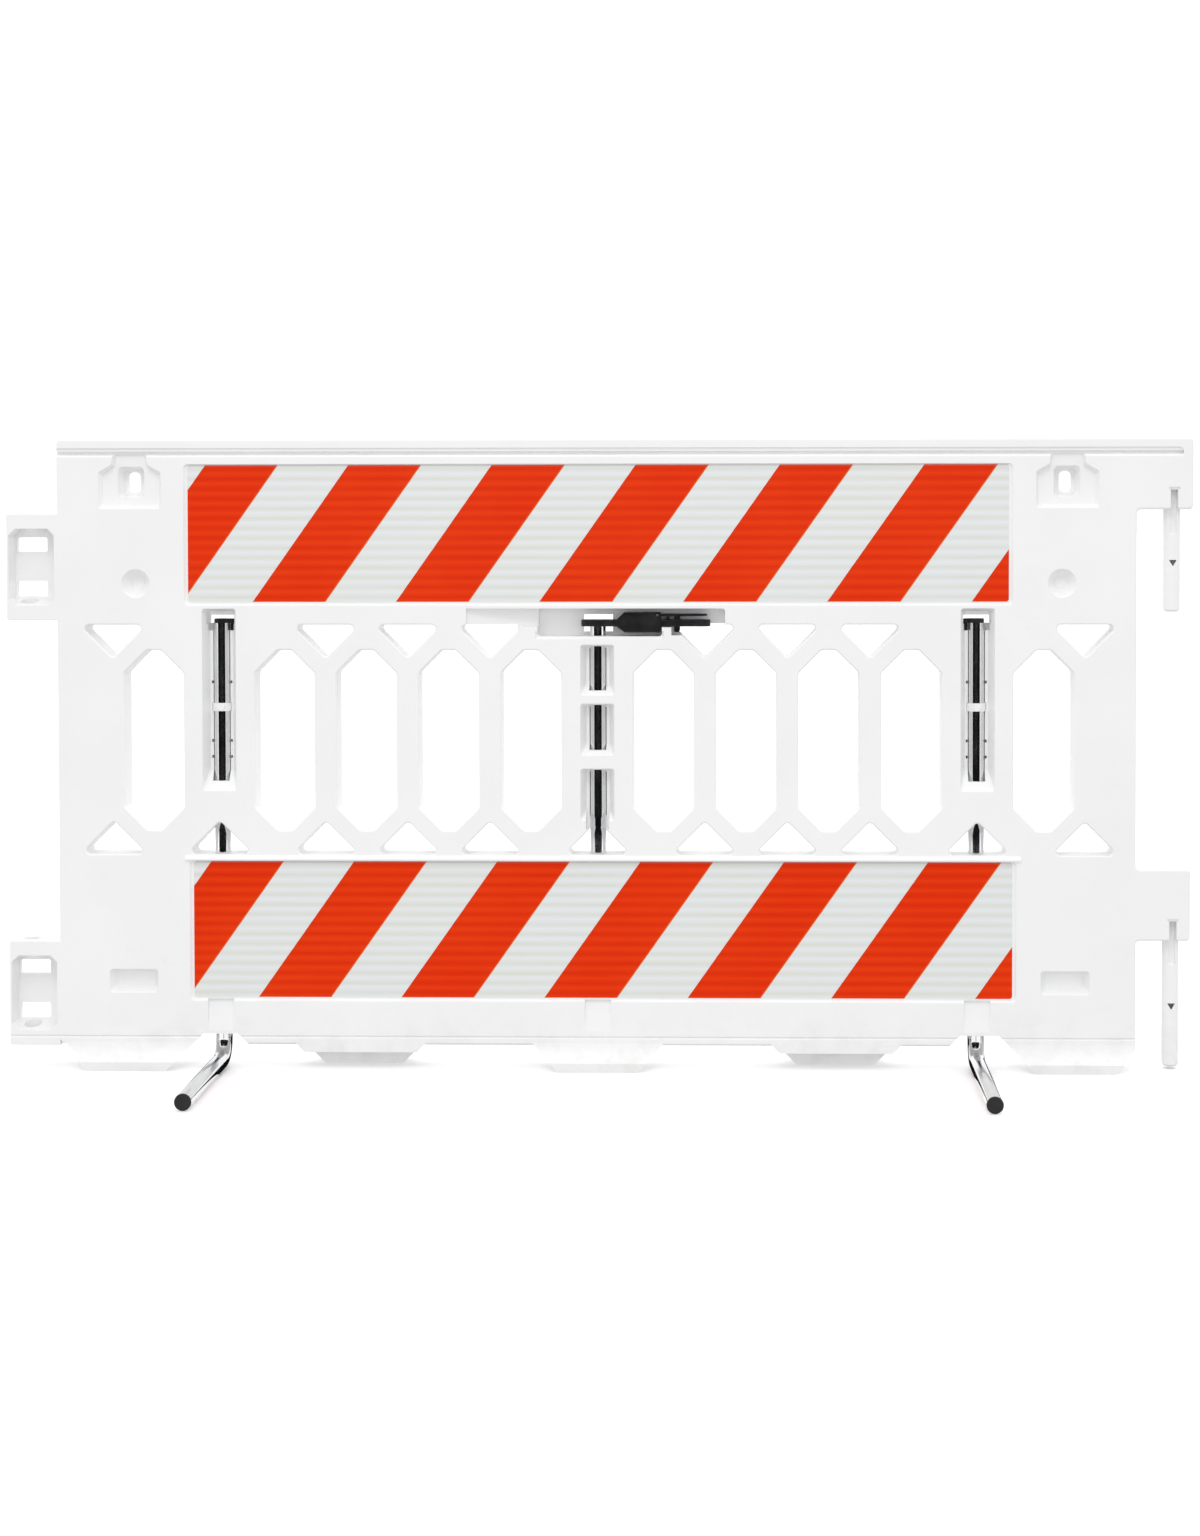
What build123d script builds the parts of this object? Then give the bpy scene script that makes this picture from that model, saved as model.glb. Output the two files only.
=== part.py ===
from build123d import *
import math
import os

# Interlocking pedestrian barricade: an upright hollow plastic panel with striped sheeting,
# three swing-out tube legs, and drop pins and sockets that chain it to its neighbours.
# Millimetres. X runs along the panel, -Y is the front, Z is up. The origin is on the floor
# under the middle of the panel.

# ---- panel ----
PANEL_LEFT = -805.5         # the panel's ends, without its couplings
PANEL_RIGHT = 798.0
PANEL_TOP = 940.0
PANEL_BOTTOM = 36.0
THICK = 48.0
FACE = THICK / 2            # the front face is at y = -FACE, the back at y = +FACE
RIM_R = 3.5                 # rounding of the outer rim
WINDOW_BEVEL = 1.8          # bevel of the window rims
WALL = 3.6                  # moulded wall of the hollow body
LIGHT_X = 696.0             # beds for warning lights: centre, depth, slot, and skin round the slot
LIGHT_BED = 11.0
LIGHT_SLOT_Z = (860.0, 891.0)
LIGHT_SLOT_R = 8.8
LIGHT_SKIN = 3.0
ROUND_TACK = (688.0, 725.0)     # dimples where the walls are tacked together
OBLONG_TACK = (694.0, 131.0)
TACK_DEPTH = 20.0

# ---- top rail groove ----
GROOVE_TOP = 926.5
GROOVE_FALL = (1.2, 5.2, 6.6, 9.2, 11.0, 15.5)      # corners of its section, down from the top
GROOVE_DEPTH = (3.0, 8.5)
GROOVE_END = 859.0

# ---- coupling arms (right), sockets (left) ----
COUPLING_X = 853.0          # pin and socket axes, on both sides of the panel
ARM_ENDS = (881.0, 878.5)   # far ends of the upper and lower arm
ARMS_Z = ((834.0, PANEL_TOP), (194.0, 301.0))
CORNER_R = 6.0
SOCKET_END = 881.0
SOCKETS_Z = ((670.5, 829.0), (34.0, 190.5))
SOCKET_BORE_R = 13.0
SOCKET_CAP = 22.0           # solid top and bottom of a socket
SOCKET_SIDE = 4.0
SOCKET_BACK_Y = 13.5        # front of the web, clear behind the bore
SOCKET_WINDOWS = ((-45.0, -22.0), (22.0, 43.5))     # heights from the middle of a socket
SOCKET_SILL = 9.0           # rise of the sloping foot of its pocket
PIN_R = 12.3
PIN_TIPS_Z = (682.0, 4.0)
PIN_VENTS_Z = (754.0, 94.0)
FLUTE_L, FLUTE_DEPTH = 34.0, 5.0    # flute at a pin's root
PIN_SEAT = 46.0             # length of the thinner root held inside its arm
PIN_ROOT_R = 11.6

# ---- middle band: windows ----
BAY = 122.5                 # pitch of the hexagonal windows
HEX_X = (98.5, 98.5 + BAY, 98.5 + 2 * BAY, 98.5 + 3 * BAY, 661.5)
HEX_Z = 491.5
HEX_W, HEX_H = 89.4, 269.0
HEX_SLOPE = 34.2            # 45 degree shoulders
HEX_R = 9.0
TRI_SIDE = 50.0             # height, and half the base, of the sharp triangle
TRI_R = 6.0
TRI_TOP_Z = 663.6
TRI_BASE_Z = 320.7
TRI_X = (98.5 + BAY / 2, 98.5 + 1.5 * BAY, 98.5 + 2.5 * BAY, 722.5)

# ---- legs ----
LEG_X = 563.75              # outer leg axes; the third leg is in the middle
TUBE_R = 12.0
TUBE_WALL = 2.0
BEND_R = 30.0
FOOT_REACH = 276.0          # leg axis to the end of the foot
PLUG_HEAD = 4.0
BORE_R = TUBE_R + 0.1
TROUGH_R = TUBE_R + 0.6
OUTER_TUBE_TOP = 665.6
CENTRE_TUBE_TOP = 660.3
LEG_RECESS_HALF = 25.3
OUTER_RECESS_Z = (415.5, 687.8)
CENTRE_RECESSES_Z = ((558.0, 634.0), (469.0, 546.4), (371.0, 449.6))
BACK_RECESS_Z = (340.0, 412.0)
OUTER_SILL, CENTRE_SILL = 30.0, 15.0    # height of a recess's sloping foot
STOP_SWEEP_R = 20.5
SLIT_Z = 677.5              # top of the through window above each tube
EXIT_BED_Z = (57.0, 104.0)      # beds on the face above each exit
EXIT_BED_HALF, EXIT_BED_DEPTH = 19.5, 8.0
NOTCH_TOP = 52.0
NOTCH_HALF = 25.5
NOTCH_OUTER = 33.5          # an outer notch runs into the slope of the end lug

# ---- lugs under the panel ----
LUG_X = (-701.5, -355.0, 0.0, 355.0, 707.0)
LUG_HALF_BOTTOM = 59.0
LUG_FLARE = 20.0            # how far a lug stands out beyond the panel face
LUG_INNER = 14.0            # inner face, clear of the stowed feet
LUG_FLARE_Z = (13.0, 44.0)      # the flare is hollow-curved between these heights
LUG_FLARE_BOW = 4.5
APRON_Z = 24.8              # lower edge of the short apron opposite each lug
SEAM_Z = 47.6               # fine groove along the foot of the panel
SEAM_H, SEAM_DEPTH = 3.6, 2.4

# ---- sheeting ----
SHEET_L, SHEET_H, SHEET_T = 1219.2, 203.2, 0.8
RECESS_DEPTH = 3.4
BED_ROOM = 3.0              # bed round a sheet, at its foot and ends
UPPER_SHEET = (0.0, 799.4)  # centre x, z
LOWER_SHEET = (6.0, 208.6)
LEDGE_RISE, LEDGE_OUT = 2.5, 3.5    # the rib above a lower sheet

# ---- lever and its recess ----
HAND_Z = (660.8, 687.8)
HAND_X = (-195.0, 190.0)
DEEP_X = (-89.0, 96.2)
DEEP_Z = 646.0
HAND_BACK_Y = 15.0
HAND_RAMP = (8.0, 26.0)     # depth at the recess's left end, and where its deep part starts
LEVER_Z = (660.3, 670.3)
LEVER_TAIL, LEVER_END = -25.0, 168.0
LEVER_HALF = 12.0
GRIP_X = (27.0, 94.0)
GRIP_Z = (651.5, 681.0)
GRIP_HALF = 13.5
GRIP_SCREW_X = (44.0, 72.0)
GRIP_SCREW_R = 2.0
LATCH_PIN_X, LATCH_PIN_Z = 89.0, 677.3
LATCH_PIN_R = 1.6
LATCH_EYE_R = 3.2
LATCH_HALF = 9.0
BLADE_END = 163.0
TOOTH_X = (114.0, 122.5)
TOOTH_Z = 651.5
SPRING_X, SPRING_R = 104.0, 2.6

# ---- fasteners, clips ----
SCREW_R = 2.4
SCREW_HEAD_R = 5.0
SCREW_HEAD_H = 3.0
SCREW_BITE = 22.0
PIN_HOLLOW_R = 9.0
PIN_SCREW_Z = (870.0, 229.0)
PIN_SCREW_BITE = 8.0
CROSS_PIN_R = 2.5
CROSS_PIN_DROP = 14.0
SPIGOT_L = 24.0
CLIP_R = TUBE_R + 0.35
CLIP_T = 2.0
CLIP_H = 12.0
CLIP_Z = 540.0
SPARE_CLIP_Z = (577.0, 489.0, 465.0)
CLIP_DEPTH = 11.0           # how far the clip's legs reach back past the tube's axis
BASE = (Align.CENTER, Align.CENTER, Align.MIN)


# ---- helpers ----
def slab(sketch, y_front, y_back):
    """A sketch drawn in X and Z, made solid from y_front back to y_back."""
    return extrude(Plane.XZ.offset(-y_back) * sketch, amount=y_back - y_front)


def upright(sketch, z_low, z_high):
    """A sketch drawn in X and Y, made solid from z_low to z_high."""
    return extrude(Plane.XY.offset(z_low) * sketch, amount=z_high - z_low)


def rectangle(x_low, x_high, z_low, z_high):
    return Pos((x_low + x_high) / 2, (z_low + z_high) / 2) * Rectangle(x_high - x_low, z_high - z_low)


def block(x, y, z):
    """A box from three (low, high) pairs."""
    return slab(rectangle(x[0], x[1], z[0], z[1]), y[0], y[1])


def rod(x, y, radius, z_low, z_high):
    return upright(Pos(x, y) * Circle(radius), z_low, z_high)


def both_sides(part):
    """The part and its mirror image through the panel's mid-plane."""
    return part + mirror(part, about=Plane.XZ)


def polygon(points, radius=0.0):
    face = make_face(Polyline(*points, close=True))
    if radius > 0:
        face = fillet(face.vertices(), radius)
    return face


def tapered_pocket(sketch_outer, sketch_inner, depth):
    """A sloping-sided pocket sunk from the front face."""
    mouth = Plane.XZ.offset(FACE) * sketch_outer
    floor = Plane.XZ.offset(FACE - depth) * sketch_inner
    return loft([mouth.faces()[0], floor.faces()[0]])


# ---- panel ----
def hex_window(x, grow=0.0):
    """A tall hexagon with 45 degree shoulders; with grow, its sharp outline set outwards."""
    half, rise = HEX_W / 2 + grow, HEX_H / 2 + grow
    slope = HEX_SLOPE + (2 - math.sqrt(2)) * grow
    crest, shoulder = half - slope, rise - slope
    points = [(half, -shoulder), (half, shoulder), (crest, rise), (-crest, rise),
              (-half, shoulder), (-half, -shoulder), (-crest, -rise), (crest, -rise)]
    return Pos(x, HEX_Z) * polygon(points, 0.0 if grow else HEX_R)


def triangle_window(x, base_z, way, grow=0.0):
    """A right-angled triangle on its long side; way is +1 tip up, -1 tip down."""
    reach = TRI_SIDE + (1 + math.sqrt(2)) * grow
    base = -way * grow
    points = [(-reach, base), (reach, base), (0, base + way * reach)]
    return Pos(x, base_z) * polygon(points, 0.0 if grow else TRI_R)


def windows(grow=0.0):
    """Every opening of the middle band, as sketches."""
    found = [hex_window(side * x, grow) for x in HEX_X for side in (-1, 1)]
    found += [triangle_window(side * x, TRI_TOP_Z, -1, grow) for x in TRI_X for side in (-1, 1)]
    found += [triangle_window(side * x, TRI_BASE_Z, 1, grow) for x in TRI_X for side in (-1, 1)]
    found += [triangle_window(x, TRI_BASE_Z, 1, grow) for x in (-LEG_X, 0.0, LEG_X)]
    return found


def outline():
    """The panel with its two coupling arms, as a sketch."""
    shape = rectangle(PANEL_LEFT, PANEL_RIGHT, PANEL_BOTTOM, PANEL_TOP)
    for (z_low, z_high), end in zip(ARMS_Z, ARM_ENDS):
        shape += rectangle(PANEL_RIGHT - 20, end, z_low, z_high)
    return fillet(shape.vertices(), CORNER_R)


def hollow():
    """The sealed space inside the moulding, clear of every window, pocket and leg column."""
    depth = FACE - RECESS_DEPTH - WALL
    left, right = PANEL_LEFT + WALL + 2, PANEL_RIGHT - WALL - 2
    chamber = rectangle(left, right, 60, 909)
    for window in windows(WALL + 1.5):
        chamber -= window
    for x in (-LEG_X, 0.0, LEG_X):
        chamber -= rectangle(x - 18, x + 18, 50, 330)
        chamber -= rectangle(x - 31, x + 31, 300, 696)
        chamber -= rectangle(x - 26, x + 26, 50, 110)
    chamber -= rectangle(HAND_X[0] - 6, HAND_X[1] + 6, DEEP_Z - 10, HAND_Z[1] + 6)
    for side in (-1, 1):
        chamber -= Pos(side * ROUND_TACK[0], ROUND_TACK[1]) * Rectangle(54, 54)
        chamber -= Pos(side * OBLONG_TACK[0], OBLONG_TACK[1]) * Rectangle(86, 50)
        chamber -= Pos(side * LIGHT_X, 880) * Rectangle(106, 100)
    for z_low, z_high in ((70, 160), (700, 800)):
        chamber -= rectangle(left, left + SCREW_BITE, z_low, z_high)
    return slab(chamber, -depth, depth)


def rail_groove():
    """The stepped groove below the top rail, open at the left end and round at the right."""
    step, deep = GROOVE_DEPTH
    depths = (step, step, deep, deep, 1.5, -1)
    section = [(-FACE - 1, GROOVE_TOP), (-FACE, GROOVE_TOP)]
    section += [(-FACE + depth, GROOVE_TOP - fall) for depth, fall in zip(depths, GROOVE_FALL)]
    middle = GROOVE_TOP - GROOVE_FALL[-1] / 2
    radius = GROOVE_FALL[-1] / 2
    path = rectangle(PANEL_LEFT - 5, GROOVE_END, middle - radius, middle + radius)
    path += Pos(GROOVE_END, middle) * Circle(radius)
    length = GROOVE_END + radius - PANEL_LEFT + 5
    groove = extrude(Plane.YZ.offset(PANEL_LEFT - 5) * polygon(section), amount=length)
    return both_sides(groove & slab(path, -FACE - 2, -FACE + deep + 1))


def sheet_recesses():
    """Shallow beds with sloped walls for the sheeting, front and back."""
    cut = None
    for x, z in (UPPER_SHEET, LOWER_SHEET):
        low, high = z - SHEET_H / 2, z + SHEET_H / 2
        reach = SHEET_L / 2 + BED_ROOM
        bed = rectangle(x - reach, x + reach, low - BED_ROOM, high + 1.2)
        mouth = rectangle(x - reach - 3, x + reach + 3, low - BED_ROOM - 3, high + 1.6)
        pocket = tapered_pocket(fillet(mouth.vertices(), 7), fillet(bed.vertices(), 5), RECESS_DEPTH)
        cut = pocket if cut is None else cut + pocket
    return both_sides(cut)


def light_pocket(x):
    """A bed for a warning light on each face, with a deeper well and the slot its bolt goes through."""
    half, neck, crest = 47.0, 27.0, 25.0
    foot, shoulder, throat, top = 836.0, 890.5, 902.0, 918.0
    step = 5.0
    points = [(x - half, foot), (x + half, foot), (x + half, shoulder), (x + neck, throat),
              (x + crest, top), (x - crest, top), (x - neck, throat), (x - half, shoulder)]
    inner, inner_neck, inner_crest = half - step, neck - 3, crest - 3
    bed = [(x - inner, foot + step), (x + inner, foot + step), (x + inner, shoulder - 3),
           (x + inner_neck, throat - 3), (x + inner_crest, top - 1),
           (x - inner_crest, top - 1), (x - inner_neck, throat - 3),
           (x - inner, shoulder - 3)]
    pocket = both_sides(tapered_pocket(polygon(points, 4), polygon(bed, 3), LIGHT_BED))
    z_low, z_high = LIGHT_SLOT_Z
    middle = (z_low + z_high) / 2
    mouth = fillet((Pos(x, middle) * Rectangle(46, 52)).vertices(), 8)
    floor = fillet((Pos(x, middle) * Rectangle(27, 38)).vertices(), 6)
    pocket += tapered_pocket(mouth, floor, THICK - LIGHT_BED - LIGHT_SKIN)
    slot = fillet((Pos(x, middle) * Rectangle(2 * LIGHT_SLOT_R, z_high - z_low)).vertices(), LIGHT_SLOT_R - 2)
    return pocket + slab(slot, -FACE - 1, FACE + 1)


def tack_offs():
    """Dimples where front and back walls meet: round above, oblong below."""
    cut = None
    for side in (-1, 1):
        spot = Pos(side * ROUND_TACK[0], ROUND_TACK[1])
        cone = tapered_pocket(spot * Circle(21.5), spot * Circle(9), TACK_DEPTH)
        spot = Pos(side * OBLONG_TACK[0], OBLONG_TACK[1])
        mouth = fillet((spot * Rectangle(73, 36)).vertices(), 5)
        floor = fillet((spot * Rectangle(57, 20)).vertices(), 4)
        pair = both_sides(cone) + both_sides(tapered_pocket(mouth, floor, TACK_DEPTH))
        cut = pair if cut is None else cut + pair
    return cut


def tapered_recess(x, z_low, z_high, sill):
    """The flared front recess in which a tube is seen; sill is the height of its sloping foot."""
    half = LEG_RECESS_HALF
    mouth = rectangle(x - half, x + half, z_low, z_high)
    floor = rectangle(x - half + 8, x + half - 8, z_low + sill, z_high - 5)
    return tapered_pocket(fillet(mouth.vertices(), 4), fillet(floor.vertices(), 3), FACE - 3)


def outer_leg_bore(x):
    """Bearing bore, front recess, stop-plate chamber and bottom notch of an outer leg."""
    z_low, z_high = OUTER_RECESS_Z
    cut = rod(x, 0, BORE_R, PANEL_BOTTOM - 1, z_low + 1)
    cut += rod(x, 0, TROUGH_R, z_low, OUTER_TUBE_TOP)
    cut += tapered_recess(x, z_low, z_high, OUTER_SILL)
    trough_front = (-FACE + 8, 0.0)
    cut += block((x - TROUGH_R, x + TROUGH_R), trough_front, (z_low + 14, OUTER_TUBE_TOP))
    cut += rod(x, 0, STOP_SWEEP_R, 654.0, SLIT_Z)
    cut += block((x - 21, x + 21), (-FACE, FACE + 1), (664.5, SLIT_Z))
    cut += mirror(tapered_recess(x, *BACK_RECESS_Z, CENTRE_SILL), about=Plane.XZ)
    return cut


def centre_leg_bore():
    """Bore of the middle leg, with its three front recesses."""
    cut = rod(0, 0, BORE_R, PANEL_BOTTOM - 1, LEVER_Z[0] + 5)
    for z_low, z_high in CENTRE_RECESSES_Z:
        cut += tapered_recess(0, z_low, z_high, CENTRE_SILL)
        cut += rod(0, 0, TROUGH_R, z_low + 6, z_high - 6)
        cut += block((-TROUGH_R, TROUGH_R), (-FACE + 8, 0), (z_low + 7, z_high - 7))
    low_front = CENTRE_RECESSES_Z[2][0]
    opening = (low_front - 12, low_front + 20)
    cut += block((-LEG_RECESS_HALF + 8, LEG_RECESS_HALF - 8), (-FACE - 1, -2.5), opening)
    return cut


def exit_notch(x_low, x_high, y_front):
    """The raised, bevelled edge where a tube leaves the panel."""
    reach = NOTCH_TOP - APRON_Z + 2
    points = [(x_low - reach, NOTCH_TOP - reach), (x_low, NOTCH_TOP), (x_high, NOTCH_TOP),
              (x_high + reach, NOTCH_TOP - reach)]
    return slab(polygon(points), y_front, FACE + 1)


def exit_bed(x):
    """A bed above a tube's exit, deepest at the top and running out to the face at its foot."""
    z_low, z_high = EXIT_BED_Z
    section = [(-FACE - 1, z_low - 4), (-FACE, z_low), (-FACE + EXIT_BED_DEPTH, z_high), (-FACE - 1, z_high)]
    width = 2 * EXIT_BED_HALF
    return extrude(Plane.YZ.offset(x - EXIT_BED_HALF) * polygon(section), amount=width)


def lever_recess():
    """The hand recess with a ramp at its left, the catch for the tooth and the hub's chamber."""
    x_low, x_high = HAND_X
    z_low, z_high = HAND_Z
    slot = fillet(rectangle(DEEP_X[0], x_high, z_low, z_high).vertices(), 5)
    ramp_end = DEEP_X[0] + 6
    ramp = polygon([(x_low, -FACE - 1), (x_low, -FACE + HAND_RAMP[0]), (ramp_end, -FACE + HAND_RAMP[1]),
                    (ramp_end, -FACE - 1)])
    right = rectangle(DEEP_X[1] - 10, x_high - 6, z_low - 1.3, z_low + 12)
    deep = fillet(rectangle(DEEP_X[0], DEEP_X[1], DEEP_Z, z_high - 2).vertices(), 5)
    catch = rectangle(110, 126, 647.5, 664)
    front = slab(slot + right + deep + catch, -FACE - 1, HAND_BACK_Y)
    sill_mouth = rectangle(DEEP_X[0] - 3, DEEP_X[1] + 3, DEEP_Z - 4, DEEP_Z + 8)
    sill_floor = rectangle(DEEP_X[0], DEEP_X[1], DEEP_Z, DEEP_Z + 6)
    front += tapered_pocket(sill_mouth, sill_floor, 5)
    front += upright(ramp, z_low, z_high)
    hub = block((-21.8, 21.8), (0, FACE + 1), (651.5, SLIT_Z))
    return front + hub


def lug(x, front):
    """A flared lug; its inner face leaves a channel for the stowed feet."""
    z_low, z_high = LUG_FLARE_Z
    out = FACE + LUG_FLARE
    half_top = LUG_HALF_BOTTOM + NOTCH_TOP
    middle = (-FACE - LUG_FLARE / 2 + LUG_FLARE_BOW, (z_low + z_high) / 2 - LUG_FLARE_BOW)
    sides = Polyline((-out, z_low), (-out, 0), (-LUG_INNER, 0), (-LUG_INNER, NOTCH_TOP),
                     (-FACE, NOTCH_TOP), (-FACE, z_high))
    section = make_face(sides + ThreePointArc((-FACE, z_high), middle, (-out, z_low)))
    bar = extrude(Plane.YZ.offset(x - half_top) * section, amount=2 * half_top)
    face = polygon([(x - LUG_HALF_BOTTOM, 0), (x + LUG_HALF_BOTTOM, 0), (x + half_top, NOTCH_TOP),
                    (x - half_top, NOTCH_TOP)])
    within = rectangle(max(x - half_top, PANEL_LEFT), min(x + half_top, PANEL_RIGHT), 0, NOTCH_TOP)
    body = bar & slab(face & within, -out, FACE)
    above = rectangle(x - half_top, x + half_top, APRON_Z, NOTCH_TOP)
    body += slab(face & within & above, LUG_INNER, FACE)
    return body if front else mirror(body, about=Plane.XZ)


def foot_seam(x_low, x_high):
    """The fine V-groove along the foot of the panel and the lower socket, front and back."""
    half = SEAM_H / 2
    section = [(-FACE - 1, SEAM_Z - half - 1), (-FACE + SEAM_DEPTH, SEAM_Z), (-FACE - 1, SEAM_Z + half + 1)]
    groove = extrude(Plane.YZ.offset(x_low) * polygon(section), amount=x_high - x_low)
    return both_sides(groove)


def sheet_ledge():
    """The small rib above each lower sheet, sloped on top so that it sheds water."""
    z = LOWER_SHEET[1] + SHEET_H / 2 + LEDGE_RISE
    lip = -FACE - LEDGE_OUT
    section = [(-FACE + 1, z), (lip, z), (lip, z + 2), (-FACE, z + 7), (-FACE + 1, z + 7)]
    left = LOWER_SHEET[0] - SHEET_L / 2 - 12
    rib = extrude(Plane.YZ.offset(left) * polygon(section), amount=SHEET_L + 24)
    return both_sides(rib)


def pin_seats():
    """Blind bores in the arms for the drop pins, with a front notch and a screw hole for each."""
    cut = None
    for (arm_low, _), screw_z in zip(ARMS_Z, PIN_SCREW_Z):
        seat = rod(COUPLING_X, 0, PIN_ROOT_R, arm_low - 1, arm_low + PIN_SEAT)
        seat += block((COUPLING_X - 5.5, COUPLING_X + 5.5), (-FACE - 1, 0), (arm_low - 1, arm_low + 29))
        seat += block((COUPLING_X - 8, COUPLING_X + 8), (-FACE - 1, -FACE + 3), (arm_low + 29, arm_low + 33))
        seat += Pos(COUPLING_X, FACE - 8, screw_z) * Rot(-90, 0, 0) * Cylinder(SCREW_R, 20)
        seat += Pos(COUPLING_X, FACE, screw_z) * Rot(-90, 0, 0) * Cylinder(SCREW_HEAD_R + 0.5, 7)
        cut = seat if cut is None else cut + seat
    return cut


def socket_screw_places():
    """Axis positions (y, z) of the screws that hold the two sockets to the panel's edge."""
    return [(y, (z_low + z_high) / 2 + dz) for z_low, z_high in SOCKETS_Z for y, dz in ((-6, 38), (-6, -38))]


def clip_slots(x):
    """The slots that a tube clip's legs snap into, and smaller pockets for clips at other heights."""
    outer = CLIP_R + CLIP_T + 0.2
    z_low, z_high = CLIP_Z - CLIP_H / 2 - 0.3, CLIP_Z + CLIP_H / 2 + 0.3
    cut = block((x - outer, x + outer), (-FACE + 6, CLIP_DEPTH + 1), (z_low, z_high))
    for z in SPARE_CLIP_Z:
        for side in (-1, 1):
            near, far = sorted((x + side * (CLIP_R + 0.3), x + side * (CLIP_R + 3.3)))
            cut += block((near, far), (-FACE + 6, CLIP_DEPTH), (z - 2.2, z + 2.2))
    return cut


def soften_rims(body):
    """Bevels the rims of the windows and rounds the outer rim, front and back."""
    faces = body.faces().sort_by(Axis.Y)
    rims = [wire for face in (faces[0], faces[-1]) for wire in face.inner_wires()]
    body = chamfer([edge for rim in rims for edge in rim.edges()], WINDOW_BEVEL)
    faces = body.faces().sort_by(Axis.Y)
    outer = faces[0].outer_wire().edges() + faces[-1].outer_wire().edges()
    return fillet(outer, RIM_R)


def panel():
    """The one-piece hollow moulding."""
    profile = outline()
    for window in windows():
        profile -= window
    body = slab(profile, -FACE, FACE)
    body = soften_rims(body)
    for z_low, z_high in SOCKETS_Z:
        edge = (max(z_low, PANEL_BOTTOM + CORNER_R), z_high)
        body += block((PANEL_LEFT, PANEL_LEFT + CORNER_R), (-FACE, FACE), edge)
    body -= exit_notch(-LEG_X - NOTCH_OUTER, -LEG_X + NOTCH_HALF, -FACE - 1)
    body -= exit_notch(LEG_X - NOTCH_HALF, LEG_X + NOTCH_OUTER, -FACE - 1)
    for place, x in enumerate(LUG_X):
        body += lug(x, front=place % 2 == 0)
    body -= exit_notch(-NOTCH_HALF, NOTCH_HALF, -LUG_INNER)
    body -= foot_seam(PANEL_LEFT - 1, PANEL_RIGHT + 1)
    body -= rail_groove()
    body -= sheet_recesses()
    body += sheet_ledge()
    for side in (-1, 1):
        body -= light_pocket(side * LIGHT_X)
        body -= outer_leg_bore(side * LEG_X)
        body -= clip_slots(side * LEG_X)
    body -= tack_offs()
    body -= centre_leg_bore()
    for x in (-LEG_X, 0.0, LEG_X):
        body -= exit_bed(x)
    body -= lever_recess()
    body -= hollow()
    body -= pin_seats()
    for y, z in socket_screw_places():
        body -= Pos(PANEL_LEFT, y, z) * Rot(0, 90, 0) * Cylinder(SCREW_R, 2 * SCREW_BITE)
    return body


# ---- sheeting ----
def sheet(place, front):
    """One rectangle of reflective sheeting, lying in its bed."""
    x, z = place
    face = fillet(rectangle(x - SHEET_L / 2, x + SHEET_L / 2, z - SHEET_H / 2, z + SHEET_H / 2).vertices(), 4)
    bed = -FACE + RECESS_DEPTH
    part = slab(face, bed - SHEET_T, bed)
    return part if front else mirror(part, about=Plane.XZ)


# ---- couplings ----
def socket(z_low, z_high):
    """A socket box: bored caps above and below, a set-back web between two through openings."""
    x_low, x_high = -SOCKET_END, PANEL_LEFT
    body = block((x_low, x_high), (-FACE, FACE), (z_low, z_high))
    body = fillet(body.edges().filter_by(Axis.Y).group_by(Axis.X)[0], 4)
    for face in (0, -1):
        rim = body.faces().sort_by(Axis.Y)[face].edges().sort_by(Axis.X)[:-1]
        body = fillet(rim, 1.2)
    pocket_low, pocket_high = z_low + SOCKET_CAP, z_high - SOCKET_CAP
    pocket = rectangle(x_low + 3, x_high - SOCKET_SIDE, pocket_low, pocket_high)
    body -= slab(chamfer(pocket.vertices(), 10), -FACE - 1, SOCKET_BACK_Y)
    sill = [(-FACE + 2, pocket_low - 2), (-FACE + 2, pocket_low), (SOCKET_BACK_Y, pocket_low + SOCKET_SILL),
            (SOCKET_BACK_Y + 1, pocket_low - 2)]
    body += extrude(Plane.YZ.offset(x_low + 2) * polygon(sill), amount=x_high - x_low - 2)
    middle = (z_low + z_high) / 2
    for low, high in SOCKET_WINDOWS:
        window = rectangle(-COUPLING_X - 23, -COUPLING_X + 23, middle + low, middle + high)
        body -= slab(fillet(window.vertices(), 3), 0, FACE + 1)
    body -= rod(-COUPLING_X, 0, SOCKET_BORE_R, z_low - 1, z_high + 1)
    if z_low < SEAM_Z < z_high:
        body -= foot_seam(x_low - 1, x_high + 1)
    for y, z in socket_screw_places():
        if z_low < z < z_high:
            body -= Pos(PANEL_LEFT, y, z) * Rot(0, 90, 0) * Cylinder(SCREW_R, 2 * SCREW_BITE)
    return body


def socket_screws():
    """Pan-head screws, heads inside the pockets, biting into the panel's edge."""
    screws = []
    for y, z in socket_screw_places():
        head_face = PANEL_LEFT - SOCKET_SIDE
        shank = Pos(head_face, y, z) * Rot(0, 90, 0) * Cylinder(SCREW_R, SCREW_BITE, align=BASE)
        head = Pos(head_face, y, z) * Rot(0, -90, 0) * Cylinder(SCREW_HEAD_R, SCREW_HEAD_H, align=BASE)
        screws.append(shank + fillet(head.edges().group_by(Axis.X)[0], 1.2))
    return Compound(children=screws)


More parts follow.
